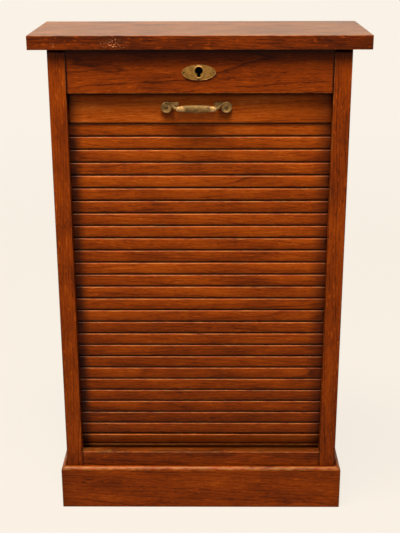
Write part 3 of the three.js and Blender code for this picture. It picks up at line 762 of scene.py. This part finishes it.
def makeCanvasSheet(name, node, body, points):
    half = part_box(node)[1].x
    bm = newPiece()
    plank = bm.verts.layers.float_vector["plank"]
    start = [bm.verts.new((side * half, points[0].y, points[0].z)) for side in (-1, 1)]
    edges = [bm.edges.new(start)]
    length = 0
    for vert in start:
        vert[plank] = Vector((vert.co.x, 0, 0))
    for before, point in zip(points, points[1:]):
        length += (point - before).length
        grown = bmesh.ops.extrude_edge_only(bm, edges=edges)["geom"]
        verts = [g for g in grown if isinstance(g, bmesh.types.BMVert)]
        bmesh.ops.translate(bm, vec=point - before, verts=verts)
        for vert in verts:
            vert[plank] = Vector((vert.co.x, length, 0))
        edges = [g for g in grown if isinstance(g, bmesh.types.BMEdge)]
    sheet = finishPiece(bm, name, body, node, "canvas", canvasCloth, weighted=False)
    thick = sheet.modifiers.new("cloth thickness", "SOLIDIFY")
    thick.thickness = clothSettings["thickness"] * mm
    thick.offset = 0
    return sheet


behind = Vector((0, clothSettings["behind"] * mm, 0))
endGap = clothSettings["endGap"] * mm
runEnd = curtainSettings["straightCount"] * curtainSettings["pitch"] * mm
wholeRun = runEnd + curtainSettings["bendCount"] * curtainSettings["pitch"] * mm
straightRuns = (endGap, runEnd / 2, runEnd - endGap)
straightCloth = makeCanvasSheet("curtainCanvas", "curtain_canvas", "tambour",
                                [curtainPoint(run) + behind for run in straightRuns])
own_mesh(straightCloth)
bendSteps = clothSettings["steps"]
bendRuns = [partWay(runEnd, wholeRun, step / bendSteps) for step in range(bendSteps + 1)]
makeCanvasSheet("bendCanvas", "bend_canvas", "root",
                [curtainPoint(run, clothSettings["bendInset"] * mm) for run in bendRuns])
print("canvas made")


# Escutcheon: an oval plate with a raised collar round the keyhole
escutcheonSettings = {
    "segments": 72,
    "rimRound": 0.5,
    "rimSteps": [(0, 1), (0.6, 0.3), (2, 0)],  # how much narrower and how far back, of that
    "collarWidth": 19,
    "collarHeight": 21.5,
    "collarRise": 1.2,
    "collarSteps": [(0.8, 0.35), (1.8, 0), (3, 0.3)],  # how far in from its outline, and how far back
    "collarLift": 0.7,  # the collar's middle and the keyhole's round part over the middle of the oval
    "aboveCentre": 2.6,
    "keyRadius": 6.6,
    "slotHalf": 2.9,
    "slotDrop": 11,
    "least": 0.01,  # stands for nought under a fraction
    "flare": (0.5, 1.0),  # how much wider the keyhole is at its edge, and how far back that is
    "ledge": (1.2, 2.2),  # how far back the ledge starts and ends, dulled by painted shade
    "narrow": (6.2, 2.6, 10.6),  # radius, half slot and drop where the hole is narrowest, behind the ledge
    "tarnishAndShade": {9: 0.9, 10: 1, 11: 1},  # painted shade on the ledge and in the hole behind it, by the loop's number, as is the next
    "edges": {2: 1, 3: 0.8, 5: 0.6, 6: 0.6, 7: 0.6},  # how bright the rim and the collar are rubbed
}


def makeEscutcheon():
    look = escutcheonSettings
    low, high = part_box("escutcheon")
    middle = (low + high) / 2
    keyCentre = Vector((middle.x, 0, middle.z + look["aboveCentre"] * mm))
    faceY = low.y + look["collarRise"] * mm

    def oval(width, height, lift=0):
        return lambda angle: (middle.x + width / 2 * math.sin(angle),
                              middle.z + lift * mm - height / 2 * math.cos(angle))

    def collar(inset):
        width, height = [(look[size] - inset) * mm for size in ("collarWidth", "collarHeight")]
        return oval(width, height, look["collarLift"])

    def keyhole(margin):
        # A circle and the slot below it, whose straight sides touch the circle and close in towards the foot
        half, drop, full = [(look[size] + margin) * mm for size in ("slotHalf", "slotDrop", "keyRadius")]
        shoulder = math.atan2(half, drop) + math.acos(full / math.hypot(half, drop))

        def point(angle):
            fold = min(angle, 2 * math.pi - angle)
            radius = full
            if fold < shoulder:
                radius = min(full / math.cos(shoulder - fold), drop / max(math.cos(fold), look["least"]))
            return keyCentre.x + radius * math.sin(angle), keyCentre.z - radius * math.cos(angle)
        return point

    def narrowHole(angle):
        # A circle over a slot with upright sides
        radius, half, drop = [size * mm for size in look["narrow"]]
        fold = min(angle, 2 * math.pi - angle)
        if fold < math.pi / 2:
            radius = max(radius, min(half / max(math.sin(fold), look["least"]), drop / math.cos(fold)))
        return keyCentre.x + radius * math.sin(angle), keyCentre.z - radius * math.cos(angle)

    wide, tall = high.x - low.x, high.z - low.z
    rim = look["rimRound"] * mm
    widening, flareBack = look["flare"]
    ledgeStart, ledgeEnd = look["ledge"]
    loops = [
        (oval(wide, tall), high.y),
        *[(oval(wide - inset * rim, tall - inset * rim), faceY + back * rim)
          for inset, back in look["rimSteps"]],
        (collar(0), faceY),
        *[(collar(inset), low.y + back * mm) for inset, back in look["collarSteps"]],
        (keyhole(widening), low.y + flareBack * mm),
        (keyhole(0), low.y + ledgeStart * mm),
        (narrowHole, low.y + ledgeEnd * mm),
        (narrowHole, high.y),
        (oval(wide, tall), high.y),
    ]
    bm = newPiece()
    edge = bm.faces.layers.float["edge"]
    grime = bm.verts.layers.float["grime"]
    previous = None
    for order, (outline, y) in enumerate(loops):
        verts, ring = addRing(bm, look["segments"])
        for index, vert in enumerate(verts):
            x, z = outline(2 * math.pi * index / len(verts))
            vert.co = (x, y, z)
            # painted shade on the keyhole's ledge and the hole behind it
            vert[grime] = look["tarnishAndShade"].get(order, 0)
        if previous:
            for face in bmesh.ops.bridge_loops(bm, edges=previous + ring)["faces"]:
                face[edge] = look["edges"].get(order, 0)
        previous = ring
    bmesh.ops.remove_doubles(bm, verts=bm.verts, dist=weld)
    bmesh.ops.recalc_face_normals(bm, faces=bm.faces)
    finishPiece(bm, "escutcheonPlate", "root", "escutcheon", "aged_brass", stampedBrass)


makeEscutcheon()


def spinHead(bm, profile, seat, steps):
    # Turns an outline of (radius, rise), in millimetres, about an axis through the seat
    verts = [bm.verts.new((seat.x + radius * mm, seat.y - rise * mm, seat.z)) for radius, rise in profile]
    edges = [bm.edges.new(pair) for pair in zip(verts, verts[1:])]
    bmesh.ops.spin(bm, geom=verts + edges, cent=seat, axis=(0, 1, 0), angle=2 * math.pi, steps=steps,
                   use_merge=True)
    bmesh.ops.remove_doubles(bm, verts=bm.verts, dist=weld)
    bmesh.ops.recalc_face_normals(bm, faces=bm.faces)


def newHead(node, profile, steps):
    # A spun head whose crown is flush with the front of the CAD node
    low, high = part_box(node)
    seat = (low + high) / 2
    seat.y = low.y + profile[-1][1] * mm
    bm = newPiece()
    spinHead(bm, profile, seat, steps)
    return bm, seat


# Small round-headed pins of the escutcheon
pinSettings = {"head": [(0, -8), (0.6, -8), (0.6, 0), (1.25, 0), (1.1, 0.4), (0.6, 0.65), (0, 0.7)]}
for spot in ("left", "right", "bottom"):
    node = "escutcheon_pin_" + spot
    bm, seat = newHead(node, pinSettings["head"], steps=16)
    finishPiece(bm, "escutcheonPin" + spot.capitalize(), "root", node, "dark_steel", darkSteel)
print("escutcheon made")


# Pull: two dished feet with a leaf beside each, and a swelling grip between curved arms, in one casting
pullSettings = {
    "footSpacing": 104,
    "foot": [(0, 0), (9.6, 0), (10, 0.6), (10, 3.6), (9.7, 4.8), (9.0, 5.4), (8.3, 5.3), (7.6, 4.6),
             (6.4, 3.8), (4.2, 3.45), (0, 3.4)],
    "leaf": (15, 2.5, 9),  # length, thickness and height
    "leafInset": 6,
    "leafEase": 0.7,
    "armPoints": [(-43.5, -2.5, 3.8), (-38, -14.5, 0.8), (-34.6, -13.8, -1.3)],
    "armSteps": 9,
    "armRadii": (2.8, 2.5),
    "armOval": 1.05,
    "gripHalf": 34.4,
    "gripSteps": 26,
    "gripHeights": (3.6, 6.75),
    "gripDepths": (2.6, 4.4),
    "fullness": 0.6,
    "sides": 28,
    "gripFront": -8,  # what is further forward than this is the grip and its arms
    "dust": 1.0,  # dust, with painted shade that dims the light from above, on what faces up
    "middleShade": 0.2,  # painted shade on the middle of the grip, browner than its ends
    "middleShadeFades": (29.4, 12),  # off the middle, where that shade is gone and over what length it fades
    "endHighlights": (20, 33.4, 0.8),  # painted highlights near both ends of the grip
}


def makePull():
    look = pullSettings
    low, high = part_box("pull_handle")
    centre = Vector(((low.x + high.x) / 2, high.y, (low.z + high.z) / 2))
    bm = newPiece()

    # Cross-sections from the left foot to the middle of the grip: place, heading, half depth, half height
    stations = []
    start, bend, end = [Vector(point) for point in look["armPoints"]]
    for step in range(look["armSteps"] + 1):
        t = step / look["armSteps"]
        place = start * (1 - t) ** 2 + bend * 2 * t * (1 - t) + end * t * t
        heading = (bend - start) * (1 - t) + (end - bend) * t
        radius = partWay(*look["armRadii"], t)
        stations.append((place, heading.normalized(), radius, radius * look["armOval"]))
    for step in range(look["gripSteps"] // 2 + 1):
        along = -1 + 2 * step / look["gripSteps"]
        full = math.cos(along * math.pi / 2) ** look["fullness"] if along > -1 else 0
        stations.append((Vector((along * look["gripHalf"], end.y, end.z)), Vector((1, 0, 0)),
                         partWay(*look["gripDepths"], full), partWay(*look["gripHeights"], full)))
    mirrored = [(Vector((-p.x, p.y, p.z)), Vector((d.x, -d.y, -d.z)), depth, height)
                for p, d, depth, height in stations[:-1]]
    stations += reversed(mirrored)

    previous = None
    for place, heading, depth, height in stations:
        verts, ring = addRing(bm, look["sides"])
        side = Vector((0, 0, 1)).cross(heading).normalized()
        up = heading.cross(side)
        turn = Matrix((side * depth * mm, up * height * mm, heading)).transposed()
        bmesh.ops.transform(bm, matrix=Matrix.Translation(centre + place * mm) @ turn.to_4x4(), verts=verts)
        if previous:
            bmesh.ops.bridge_loops(bm, edges=previous + ring)
        else:
            bmesh.ops.edgeloop_fill(bm, edges=ring)
        previous = ring
    bmesh.ops.edgeloop_fill(bm, edges=previous)
    bmesh.ops.recalc_face_normals(bm, faces=bm.faces)

    leafLength, leafThickness, leafHeight = look["leaf"]
    for side in (-1, 1):
        foot = bmesh.new()
        seat = centre + Vector((side * look["footSpacing"] / 2 * mm, 0, 0))
        spinHead(foot, look["foot"], seat, steps=40)
        middle = Vector((-side * (look["leafInset"] + leafLength / 2), -leafThickness / 2, leafHeight / 2))
        leaf = addBlock(foot, [size * mm for size in look["leaf"]], seat + middle * mm)
        easeEdges(foot, look["leafEase"], edges=edgesAt(leaf))
        spare = bpy.data.meshes.new("foot")
        foot.to_mesh(spare)
        foot.free()
        bm.from_mesh(spare)
        bpy.data.meshes.remove(spare)

    bm.normal_update()
    grime = bm.verts.layers.float["grime"]
    middleShadeEnd, middleShadeFade = look["middleShadeFades"]
    for vert in bm.verts:
        place = (vert.co - centre) / mm
        film = look["middleShade"] * upToOne((middleShadeEnd - abs(place.x)) / middleShadeFade)
        film *= place.y < look["gripFront"]
        # dust and painted shade on the upper faces, painted shade on the front of the grip's middle
        vert[grime] = look["dust"] * max(0, vert.normal.z) + film * max(0, -vert.normal.y)
    edge = bm.faces.layers.float["edge"]
    nearEnd, farEnd, paintedSheen = look["endHighlights"]
    for face in bm.faces:
        place = (face.calc_center_median() - centre) / mm
        if nearEnd < abs(place.x) < farEnd and place.y < look["gripFront"]:
            # full from half way on
            face[edge] = paintedSheen * min(1, (abs(place.x) - nearEnd) / (farEnd - nearEnd) * 2)
        # a painted reflection along the underside
        elif face.normal.z < -facing:
            face[edge] = paintedSheen
    finishPiece(bm, "brassPull", "tambour", "pull_handle", "aged_brass", castBrass)


makePull()


# Slotted screws in the feet of the pull
screwSettings = {
    "head": [(0, -9), (1.5, -9), (1.6, -0.2), (3.2, 0), (3.4, 0.3), (3.1, 0.8), (2.2, 1.25), (1.1, 1.4),
             (0, 1.45)],
    "slotHalf": 0.4,
    "slotLean": 0.05,
    "slotDepth": 0.7,
    "slotTurns": {"left": 25, "right": -50},
    "tarnishAndShade": 0.8,
}
for spot, turn in screwSettings["slotTurns"].items():
    node = "pull_screw_" + spot
    bm, seat = newHead(node, screwSettings["head"], steps=28)
    across = Matrix.Rotation(math.radians(turn), 3, "Y") @ Vector((1, 0, 0))
    half, lean = screwSettings["slotHalf"], screwSettings["slotLean"]
    for offset in (-half - lean, -half, half, half + lean):
        cutPlane(bm, seat + across * offset * mm, across)
    grime = bm.verts.layers.float["grime"]
    for vert in bm.verts:
        inSlot = abs((vert.co - seat).dot(across)) < (half + lean / 2) * mm
        if inSlot and vert.co.y < seat.y - lean * mm:
            vert.co.y += screwSettings["slotDepth"] * mm
        vert[grime] = screwSettings["tarnishAndShade"]
    finishPiece(bm, "pullScrew" + spot.capitalize(), "tambour", node, "aged_brass", castBrass)
print("pull made")


# Lock parts keep their CAD shape and get their finish
for node, material in (("lock_case", darkSteel), ("lock_plate", filedSteel), ("lock_bolt", castBrass),
                       ("strike_plate", stampedBrass)):
    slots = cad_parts[node].data.materials
    slots.clear()
    slots.append(material)
print("lock finished")


# Pale studio floor and world, under a wide softbox hung high, a little in front and to the left
floorSettings = {
    "size": 30,
    "colour": "#faf2e6",
    "lit": "#7a756e",
    "bounce": "#524e49",  # what the floor sends back to the object, kept low
    "near": 1.2,
    "far": 4,
    "painted": (0.83, 1.0),  # how much is plain colour, near and far off, and below how bright that is
    "level": (1.08, 1.0),
    "under": (0.262, 0.11),  # half the footprint, in metres, where the paper lies in the dark
}
studioSettings = {
    "world": "#faf2e6",
    "ambient": 0.05,
    "key": {"place": (-0.6, -1.3, 5.2), "aim": (-0.1, -0.3, 0.6), "size": (3.2, 1.4), "power": 850,
            "colour": "#fffbee"},
    "fill": {"place": (-0.9, -3.4, 3.6), "aim": (0, 0, 0.5), "size": (1.8, 1.8), "power": 46,
             "colour": "#fff6ea"},
    "back": {"place": (0.1, 2.6, 1.9), "aim": (0, 0, 0.9), "size": (2.6, 1.2), "power": 8,
             "colour": "#ffeacc"},
}


def seenBare(tree):
    # Whether the camera sees it straight, and whether it sees it at all, also in gloss or glass
    path = addNode(tree, "LightPath")
    straight = seen = path.outputs["Is Camera Ray"]
    for ray in ("Is Glossy Ray", "Is Transmission Ray"):
        seen = addNode(tree, "Math", {"operation": "MAXIMUM"}, [seen, path.outputs[ray]])
    return straight, seen


def addStudio():
    bm = bmesh.new()
    bmesh.ops.create_grid(bm, x_segments=1, y_segments=1, size=floorSettings["size"] / 2)
    mesh = bpy.data.meshes.new("studioFloor")
    bm.to_mesh(mesh)
    bm.free()
    floor = bpy.data.objects.new("studioFloor", mesh)
    scene.collection.objects.link(floor)
    material, tree = newMaterial("paleStudioPaper")
    straight, seen = seenBare(tree)
    place = addNode(tree, "TexCoord").outputs["Object"]
    away = addNode(tree, "VectorMath", {"operation": "LENGTH"}, [place]).outputs["Value"]
    share, level = [addNode(tree, "MapRange", {"interpolation_type": "SMOOTHSTEP"},
                            [away, floorSettings["near"], floorSettings["far"], *floorSettings[name]])
                    for name in ("painted", "level")]
    folded = addNode(tree, "VectorMath", {"operation": "ABSOLUTE"}, [place])
    folded = addNode(tree, "SeparateXYZ", None, [folded])
    beyond = [addNode(tree, "Math", {"operation": "GREATER_THAN"}, [folded.outputs[axis], reach])
              for axis, reach in zip("XY", floorSettings["under"])]
    beside = addNode(tree, "Math", {"operation": "MAXIMUM"}, beyond)
    for field in (seen, beside):
        share = addNode(tree, "Math", multiply, [share, field])
    paper = addNode(tree, "Mix", {"data_type": "RGBA"}, {
        0: straight, 6: toLinear(floorSettings["bounce"]), 7: toLinear(floorSettings["lit"])}).outputs[2]
    lit = addNode(tree, "BsdfDiffuse", None, {"Color": paper})
    plain = addNode(tree, "Emission", None, {"Color": toLinear(floorSettings["colour"]), "Strength": level})
    mixed = addNode(tree, "MixShader", None, [share, lit, plain])
    addNode(tree, "OutputMaterial", None, {"Surface": mixed})
    mesh.materials.append(material)

    world = bpy.data.worlds.new("studio")
    scene.world = world
    world.use_nodes = True
    tree = world.node_tree
    tree.nodes.clear()
    straight, seen = seenBare(tree)
    strength = addNode(tree, "MapRange", None, [seen, 0, 1, studioSettings["ambient"], 1])
    background = addNode(tree, "Background", None,
                         {"Color": toLinear(studioSettings["world"]), "Strength": strength})
    addNode(tree, "OutputWorld", None, {"Surface": background})

    for name in ("key", "fill", "back"):
        light = studioSettings[name]
        data = bpy.data.lights.new(name, "AREA")
        data.shape = "RECTANGLE"
        data.size, data.size_y = light["size"]
        data.energy = light["power"]
        data.color = toLinear(light["colour"])[:3]
        lamp = bpy.data.objects.new(name, data)
        scene.collection.objects.link(lamp)
        lamp.location = light["place"]
        aim = Vector(light["aim"]) - Vector(light["place"])
        lamp.rotation_euler = aim.to_track_quat("-Z", "Y").to_euler()
        lamp.visible_camera = False


addStudio()
print("studio made")
